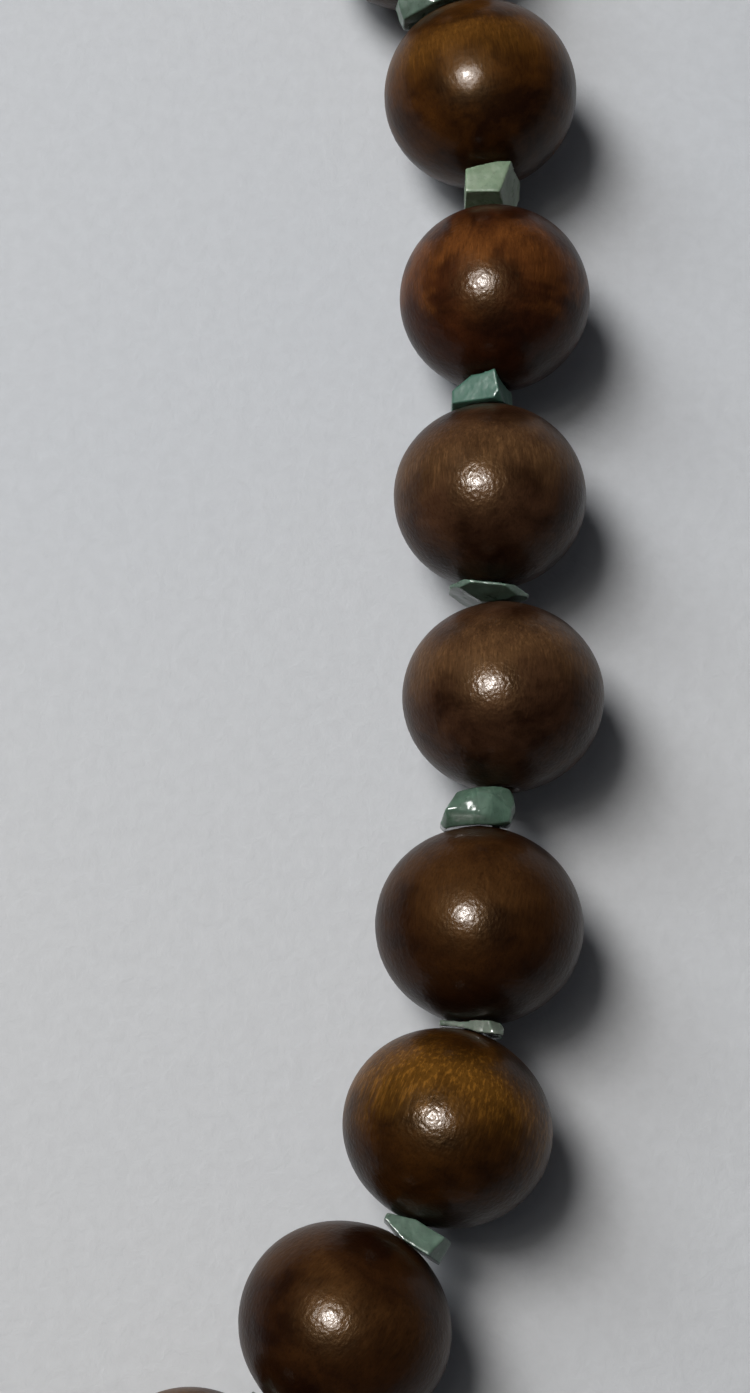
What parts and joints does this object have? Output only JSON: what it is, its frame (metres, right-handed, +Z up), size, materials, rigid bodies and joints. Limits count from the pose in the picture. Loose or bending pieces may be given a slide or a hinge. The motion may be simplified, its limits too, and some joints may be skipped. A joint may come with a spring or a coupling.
{
  "type": "mala prayer beads",
  "caption": "Closed loop of round lacquered wooden prayer beads with small green stone chips between them, a guru bead, a turned column and a cotton tassel.",
  "frame": {"origin": "middle of the loop of beads, on the table it lies on", "axes": "+Z up from the table, +Y from the guru bead and tassel towards the far side of the loop, +X to the right seen from above with the tassel towards the viewer"},
  "size_m": [0.1672, 0.3196, 0.0204],
  "materials": {
    "bead_wood": "gloss lacquer over dark stained wood",
    "guru_wood": "gloss lacquer over dark stained wood",
    "green_stone": "tumbled, half polished",
    "cord_thread": "waxed thread",
    "tassel_thread": "soft cotton",
    "binding_thread": "wound thread"
  },
  "bodies": {
    "guru": {"guru_bead": "guru_wood", "cord": "cord_thread"},
    "fold_link": {"chip_01": "green_stone"},
    "link_01": {"chip_02": "green_stone"},
    "link_02": {"chip_03": "green_stone"},
    "link_03": {"chip_04": "green_stone"},
    "link_04": {"chip_05": "green_stone"},
    "link_05": {"chip_06": "green_stone"},
    "link_06": {"chip_07": "green_stone"},
    "link_07": {"chip_08": "green_stone"},
    "link_08": {"chip_09": "green_stone"},
    "link_09": {"chip_10": "green_stone"},
    "link_10": {"chip_11": "green_stone"},
    "link_11": {"chip_12": "green_stone"},
    "link_12": {"chip_13": "green_stone"},
    "link_13": {"chip_14": "green_stone"},
    "link_14": {"chip_15": "green_stone"},
    "link_15": {"chip_16": "green_stone"},
    "link_16": {"chip_17": "green_stone"},
    "link_17": {"chip_18": "green_stone"},
    "link_18": {"chip_19": "green_stone"},
    "link_19": {"chip_20": "green_stone"},
    "link_20": {"chip_21": "green_stone"},
    "link_21": {"chip_22": "green_stone"},
    "link_22": {"chip_23": "green_stone"},
    "link_23": {"chip_24": "green_stone"},
    "link_24": {"chip_25": "green_stone"},
    "link_25": {"chip_26": "green_stone"},
    "link_26": {"chip_27": "green_stone"},
    "link_27": {"chip_28": "green_stone"},
    "bead_01": {"bead_01": "bead_wood"},
    "bead_02": {"bead_02": "bead_wood"},
    "bead_03": {"bead_03": "bead_wood"},
    "bead_04": {"bead_04": "bead_wood"},
    "bead_05": {"bead_05": "bead_wood"},
    "bead_06": {"bead_06": "bead_wood"},
    "bead_07": {"bead_07": "bead_wood"},
    "bead_08": {"bead_08": "bead_wood"},
    "bead_09": {"bead_09": "bead_wood"},
    "bead_10": {"bead_10": "bead_wood"},
    "bead_11": {"bead_11": "bead_wood"},
    "bead_12": {"bead_12": "bead_wood"},
    "bead_13": {"bead_13": "bead_wood"},
    "bead_14": {"bead_14": "bead_wood"},
    "bead_15": {"bead_15": "bead_wood"},
    "bead_16": {"bead_16": "bead_wood"},
    "bead_17": {"bead_17": "bead_wood"},
    "bead_18": {"bead_18": "bead_wood"},
    "bead_19": {"bead_19": "bead_wood"},
    "bead_20": {"bead_20": "bead_wood"},
    "bead_21": {"bead_21": "bead_wood"},
    "bead_22": {"bead_22": "bead_wood"},
    "bead_23": {"bead_23": "bead_wood"},
    "bead_24": {"bead_24": "bead_wood"},
    "bead_25": {"bead_25": "bead_wood"},
    "bead_26": {"bead_26": "bead_wood"},
    "bead_27": {"bead_27": "bead_wood"},
    "column": {"guru_column": "guru_wood"},
    "tassel": {"tassel": "tassel_thread", "tassel_binding": "binding_thread"}
  },
  "joints": [
    {"name": "half_fold", "type": "hinge", "parent": "guru", "child": "fold_link", "pos_m": [0.01584, -0.10778, 0.0101], "axis": [0.1454, -0.9894, 0], "range_deg": [0, 28], "deforming": ["cord"]},
    {"name": "loop_squeeze", "type": "hinge", "parent": "fold_link", "child": "link_01", "pos_m": [0.01584, -0.10778, 0.0101], "axis": [0, 0, 1], "range_deg": [-8, 8], "deforming": ["cord"]},
    {"name": "squeeze_gap_02", "type": "hinge", "parent": "link_01", "child": "link_02", "pos_m": [0.03595, -0.10046, 0.0101], "axis": [0, 0, 1], "range_deg": [-9.6, 9.6], "deforming": ["cord"]},
    {"name": "squeeze_gap_03", "type": "hinge", "parent": "link_02", "child": "link_03", "pos_m": [0.05238, -0.08763, 0.0101], "axis": [0, 0, 1], "range_deg": [-9.6, 9.6], "deforming": ["cord"]},
    {"name": "squeeze_gap_04", "type": "hinge", "parent": "link_03", "child": "link_04", "pos_m": [0.06418, -0.07013, 0.0101], "axis": [0, 0, 1], "range_deg": [-6.93, 6.93], "deforming": ["cord"]},
    {"name": "squeeze_gap_05", "type": "hinge", "parent": "link_04", "child": "link_05", "pos_m": [0.07039, -0.05102, 0.0101], "axis": [0, 0, 1], "range_deg": [-6.93, 6.93], "deforming": ["cord"]},
    {"name": "squeeze_gap_06", "type": "hinge", "parent": "link_05", "child": "link_06", "pos_m": [0.073, -0.0297, 0.0101], "axis": [0, 0, 1], "range_deg": [-6.93, 6.93], "deforming": ["cord"]},
    {"name": "squeeze_gap_07", "type": "hinge", "parent": "link_06", "child": "link_07", "pos_m": [0.07319, -0.0079, 0.0101], "axis": [0, 0, 1], "range_deg": [-6.93, 6.93], "deforming": ["cord"]},
    {"name": "squeeze_gap_08", "type": "hinge", "parent": "link_07", "child": "link_08", "pos_m": [0.07301, 0.01292, 0.0101], "axis": [0, 0, 1], "range_deg": [-6.93, 6.93], "deforming": ["cord"]},
    {"name": "squeeze_gap_09", "type": "hinge", "parent": "link_08", "child": "link_09", "pos_m": [0.07359, 0.03491, 0.0101], "axis": [0, 0, 1], "range_deg": [-6.93, 6.93], "deforming": ["cord"]},
    {"name": "squeeze_gap_10", "type": "hinge", "parent": "link_09", "child": "link_10", "pos_m": [0.07006, 0.05719, 0.0101], "axis": [0, 0, 1], "range_deg": [-6.93, 6.93], "deforming": ["cord"]},
    {"name": "squeeze_gap_11", "type": "hinge", "parent": "link_10", "child": "link_11", "pos_m": [0.06035, 0.07625, 0.0101], "axis": [0, 0, 1], "range_deg": [-6.93, 6.93], "deforming": ["cord"]},
    {"name": "squeeze_gap_12", "type": "hinge", "parent": "link_11", "child": "link_12", "pos_m": [0.04548, 0.09165, 0.0101], "axis": [0, 0, 1], "range_deg": [-8.88, 8.88], "deforming": ["cord"]},
    {"name": "squeeze_gap_13", "type": "hinge", "parent": "link_12", "child": "link_13", "pos_m": [0.02695, 0.10235, 0.0101], "axis": [0, 0, 1], "range_deg": [-8.88, 8.88], "deforming": ["cord"]},
    {"name": "squeeze_gap_14", "type": "hinge", "parent": "link_13", "child": "link_14", "pos_m": [0.00666, 0.10778, 0.0101], "axis": [0, 0, 1], "range_deg": [-8.88, 8.88], "deforming": ["cord"]},
    {"name": "squeeze_gap_28", "type": "hinge", "parent": "guru", "child": "link_27", "pos_m": [-0.00666, -0.10778, 0.0101], "axis": [0, 0, 1], "range_deg": [-8.88, 8.88], "deforming": ["cord"]},
    {"name": "squeeze_gap_27", "type": "hinge", "parent": "link_27", "child": "link_26", "pos_m": [-0.02695, -0.10235, 0.0101], "axis": [0, 0, 1], "range_deg": [-8.88, 8.88], "deforming": ["cord"]},
    {"name": "squeeze_gap_26", "type": "hinge", "parent": "link_26", "child": "link_25", "pos_m": [-0.04548, -0.09165, 0.0101], "axis": [0, 0, 1], "range_deg": [-8.88, 8.88], "deforming": ["cord"]},
    {"name": "squeeze_gap_25", "type": "hinge", "parent": "link_25", "child": "link_24", "pos_m": [-0.06035, -0.07625, 0.0101], "axis": [0, 0, 1], "range_deg": [-6.93, 6.93], "deforming": ["cord"]},
    {"name": "squeeze_gap_24", "type": "hinge", "parent": "link_24", "child": "link_23", "pos_m": [-0.07006, -0.05719, 0.0101], "axis": [0, 0, 1], "range_deg": [-6.93, 6.93], "deforming": ["cord"]},
    {"name": "squeeze_gap_23", "type": "hinge", "parent": "link_23", "child": "link_22", "pos_m": [-0.07359, -0.03491, 0.0101], "axis": [0, 0, 1], "range_deg": [-6.93, 6.93], "deforming": ["cord"]},
    {"name": "squeeze_gap_22", "type": "hinge", "parent": "link_22", "child": "link_21", "pos_m": [-0.07301, -0.01292, 0.0101], "axis": [0, 0, 1], "range_deg": [-6.93, 6.93], "deforming": ["cord"]},
    {"name": "squeeze_gap_21", "type": "hinge", "parent": "link_21", "child": "link_20", "pos_m": [-0.07319, 0.0079, 0.0101], "axis": [0, 0, 1], "range_deg": [-6.93, 6.93], "deforming": ["cord"]},
    {"name": "squeeze_gap_20", "type": "hinge", "parent": "link_20", "child": "link_19", "pos_m": [-0.073, 0.0297, 0.0101], "axis": [0, 0, 1], "range_deg": [-6.93, 6.93], "deforming": ["cord"]},
    {"name": "squeeze_gap_19", "type": "hinge", "parent": "link_19", "child": "link_18", "pos_m": [-0.07039, 0.05102, 0.0101], "axis": [0, 0, 1], "range_deg": [-6.93, 6.93], "deforming": ["cord"]},
    {"name": "squeeze_gap_18", "type": "hinge", "parent": "link_18", "child": "link_17", "pos_m": [-0.06418, 0.07013, 0.0101], "axis": [0, 0, 1], "range_deg": [-6.93, 6.93], "deforming": ["cord"]},
    {"name": "squeeze_gap_17", "type": "hinge", "parent": "link_17", "child": "link_16", "pos_m": [-0.05238, 0.08763, 0.0101], "axis": [0, 0, 1], "range_deg": [-9.6, 9.6], "deforming": ["cord"]},
    {"name": "squeeze_gap_16", "type": "hinge", "parent": "link_16", "child": "link_15", "pos_m": [-0.03595, 0.10046, 0.0101], "axis": [0, 0, 1], "range_deg": [-9.6, 9.6], "deforming": ["cord"]},
    {"name": "spin_bead_01", "type": "hinge", "parent": "link_01", "child": "bead_01", "pos_m": [0.02587, -0.10392, 0.0101], "axis": [0.9397, 0.342, 0], "continuous": true},
    {"name": "spin_bead_02", "type": "hinge", "parent": "link_02", "child": "bead_02", "pos_m": [0.04442, -0.09409, 0.0101], "axis": [0.788, 0.6157, 0], "continuous": true},
    {"name": "spin_bead_03", "type": "hinge", "parent": "link_03", "child": "bead_03", "pos_m": [0.05817, -0.07887, 0.0101], "axis": [0.5592, 0.829, 0], "continuous": true},
    {"name": "spin_bead_04", "type": "hinge", "parent": "link_04", "child": "bead_04", "pos_m": [0.06785, -0.06044, 0.0101], "axis": [0.309, 0.9511, 0], "continuous": true},
    {"name": "spin_bead_05", "type": "hinge", "parent": "link_05", "child": "bead_05", "pos_m": [0.07105, -0.04108, 0.0101], "axis": [0.1219, 0.9925, 0], "continuous": true},
    {"name": "spin_bead_06", "type": "hinge", "parent": "link_06", "child": "bead_06", "pos_m": [0.0736, -0.01833, 0.0101], "axis": [0.0087, 1, 0], "continuous": true},
    {"name": "spin_bead_07", "type": "hinge", "parent": "link_07", "child": "bead_07", "pos_m": [0.0725, 0.00242, 0.0101], "axis": [-0.0087, 1, 0], "continuous": true},
    {"name": "spin_bead_08", "type": "hinge", "parent": "link_08", "child": "bead_08", "pos_m": [0.07319, 0.02362, 0.0101], "axis": [0.0262, 0.9997, 0], "continuous": true},
    {"name": "spin_bead_09", "type": "hinge", "parent": "link_09", "child": "bead_09", "pos_m": [0.07194, 0.0463, 0.0101], "axis": [-0.1564, 0.9877, 0], "continuous": true},
    {"name": "spin_bead_10", "type": "hinge", "parent": "link_10", "child": "bead_10", "pos_m": [0.06482, 0.06658, 0.0101], "axis": [-0.454, 0.891, 0], "continuous": true},
    {"name": "spin_bead_11", "type": "hinge", "parent": "link_11", "child": "bead_11", "pos_m": [0.0532, 0.08409, 0.0101], "axis": [-0.6947, 0.7193, 0], "continuous": true},
    {"name": "spin_bead_12", "type": "hinge", "parent": "link_12", "child": "bead_12", "pos_m": [0.03596, 0.09686, 0.0101], "axis": [-0.866, 0.5, 0], "continuous": true},
    {"name": "spin_bead_13", "type": "hinge", "parent": "link_13", "child": "bead_13", "pos_m": [0.01689, 0.1052, 0.0101], "axis": [-0.9659, 0.2588, 0], "continuous": true},
    {"name": "spin_bead_14", "type": "hinge", "parent": "link_14", "child": "bead_14", "pos_m": [-0.00454, 0.10778, 0.0101], "axis": [-1, 0, 0], "continuous": true},
    {"name": "spin_bead_15", "type": "hinge", "parent": "link_15", "child": "bead_15", "pos_m": [-0.02587, 0.10392, 0.0101], "axis": [-0.9397, -0.342, 0], "continuous": true},
    {"name": "spin_bead_16", "type": "hinge", "parent": "link_16", "child": "bead_16", "pos_m": [-0.04442, 0.09409, 0.0101], "axis": [-0.788, -0.6157, 0], "continuous": true},
    {"name": "spin_bead_17", "type": "hinge", "parent": "link_17", "child": "bead_17", "pos_m": [-0.05817, 0.07887, 0.0101], "axis": [-0.5592, -0.829, 0], "continuous": true},
    {"name": "spin_bead_18", "type": "hinge", "parent": "link_18", "child": "bead_18", "pos_m": [-0.06785, 0.06044, 0.0101], "axis": [-0.309, -0.9511, 0], "continuous": true},
    {"name": "spin_bead_19", "type": "hinge", "parent": "link_19", "child": "bead_19", "pos_m": [-0.07105, 0.04108, 0.0101], "axis": [-0.1219, -0.9925, 0], "continuous": true},
    {"name": "spin_bead_20", "type": "hinge", "parent": "link_20", "child": "bead_20", "pos_m": [-0.0736, 0.01833, 0.0101], "axis": [-0.0087, -1, 0], "continuous": true},
    {"name": "spin_bead_21", "type": "hinge", "parent": "link_21", "child": "bead_21", "pos_m": [-0.0725, -0.00242, 0.0101], "axis": [0.0087, -1, 0], "continuous": true},
    {"name": "spin_bead_22", "type": "hinge", "parent": "link_22", "child": "bead_22", "pos_m": [-0.07319, -0.02362, 0.0101], "axis": [-0.0262, -0.9997, 0], "continuous": true},
    {"name": "spin_bead_23", "type": "hinge", "parent": "link_23", "child": "bead_23", "pos_m": [-0.07194, -0.0463, 0.0101], "axis": [0.1564, -0.9877, 0], "continuous": true},
    {"name": "spin_bead_24", "type": "hinge", "parent": "link_24", "child": "bead_24", "pos_m": [-0.06482, -0.06658, 0.0101], "axis": [0.454, -0.891, 0], "continuous": true},
    {"name": "spin_bead_25", "type": "hinge", "parent": "link_25", "child": "bead_25", "pos_m": [-0.0532, -0.08409, 0.0101], "axis": [0.6947, -0.7193, 0], "continuous": true},
    {"name": "spin_bead_26", "type": "hinge", "parent": "link_26", "child": "bead_26", "pos_m": [-0.03596, -0.09686, 0.0101], "axis": [0.866, -0.5, 0], "continuous": true},
    {"name": "spin_bead_27", "type": "hinge", "parent": "link_27", "child": "bead_27", "pos_m": [-0.01689, -0.1052, 0.0101], "axis": [0.9659, -0.2588, 0], "continuous": true},
    {"name": "pendant_swing", "type": "hinge", "parent": "guru", "child": "column", "pos_m": [0.00454, -0.11903, 0.0101], "axis": [0, 0, 1], "range_deg": [-25, 25], "deforming": ["cord"]},
    {"name": "pendant_tassel_swing", "type": "hinge", "parent": "column", "child": "tassel", "pos_m": [0.00454, -0.13983, 0.0101], "axis": [0, 0, 1], "range_deg": [-30, 30], "deforming": ["cord"]}
  ],
  "couplings": [
    {"joint": "squeeze_gap_02", "follows": "loop_squeeze", "ratio": 1},
    {"joint": "squeeze_gap_03", "follows": "loop_squeeze", "ratio": 1},
    {"joint": "squeeze_gap_04", "follows": "loop_squeeze", "ratio": -0.72172},
    {"joint": "squeeze_gap_05", "follows": "loop_squeeze", "ratio": -0.72172},
    {"joint": "squeeze_gap_06", "follows": "loop_squeeze", "ratio": -0.72172},
    {"joint": "squeeze_gap_07", "follows": "loop_squeeze", "ratio": -0.72172},
    {"joint": "squeeze_gap_08", "follows": "loop_squeeze", "ratio": -0.72172},
    {"joint": "squeeze_gap_09", "follows": "loop_squeeze", "ratio": -0.72172},
    {"joint": "squeeze_gap_10", "follows": "loop_squeeze", "ratio": -0.72172},
    {"joint": "squeeze_gap_11", "follows": "loop_squeeze", "ratio": -0.72172},
    {"joint": "squeeze_gap_12", "follows": "loop_squeeze", "ratio": 0.92459},
    {"joint": "squeeze_gap_13", "follows": "loop_squeeze", "ratio": 0.92459},
    {"joint": "squeeze_gap_14", "follows": "loop_squeeze", "ratio": 0.92459},
    {"joint": "squeeze_gap_28", "follows": "loop_squeeze", "ratio": -0.92459},
    {"joint": "squeeze_gap_27", "follows": "loop_squeeze", "ratio": -0.92459},
    {"joint": "squeeze_gap_26", "follows": "loop_squeeze", "ratio": -0.92459},
    {"joint": "squeeze_gap_25", "follows": "loop_squeeze", "ratio": 0.72172},
    {"joint": "squeeze_gap_24", "follows": "loop_squeeze", "ratio": 0.72172},
    {"joint": "squeeze_gap_23", "follows": "loop_squeeze", "ratio": 0.72172},
    {"joint": "squeeze_gap_22", "follows": "loop_squeeze", "ratio": 0.72172},
    {"joint": "squeeze_gap_21", "follows": "loop_squeeze", "ratio": 0.72172},
    {"joint": "squeeze_gap_20", "follows": "loop_squeeze", "ratio": 0.72172},
    {"joint": "squeeze_gap_19", "follows": "loop_squeeze", "ratio": 0.72172},
    {"joint": "squeeze_gap_18", "follows": "loop_squeeze", "ratio": 0.72172},
    {"joint": "squeeze_gap_17", "follows": "loop_squeeze", "ratio": -1},
    {"joint": "squeeze_gap_16", "follows": "loop_squeeze", "ratio": -1}
  ]
}
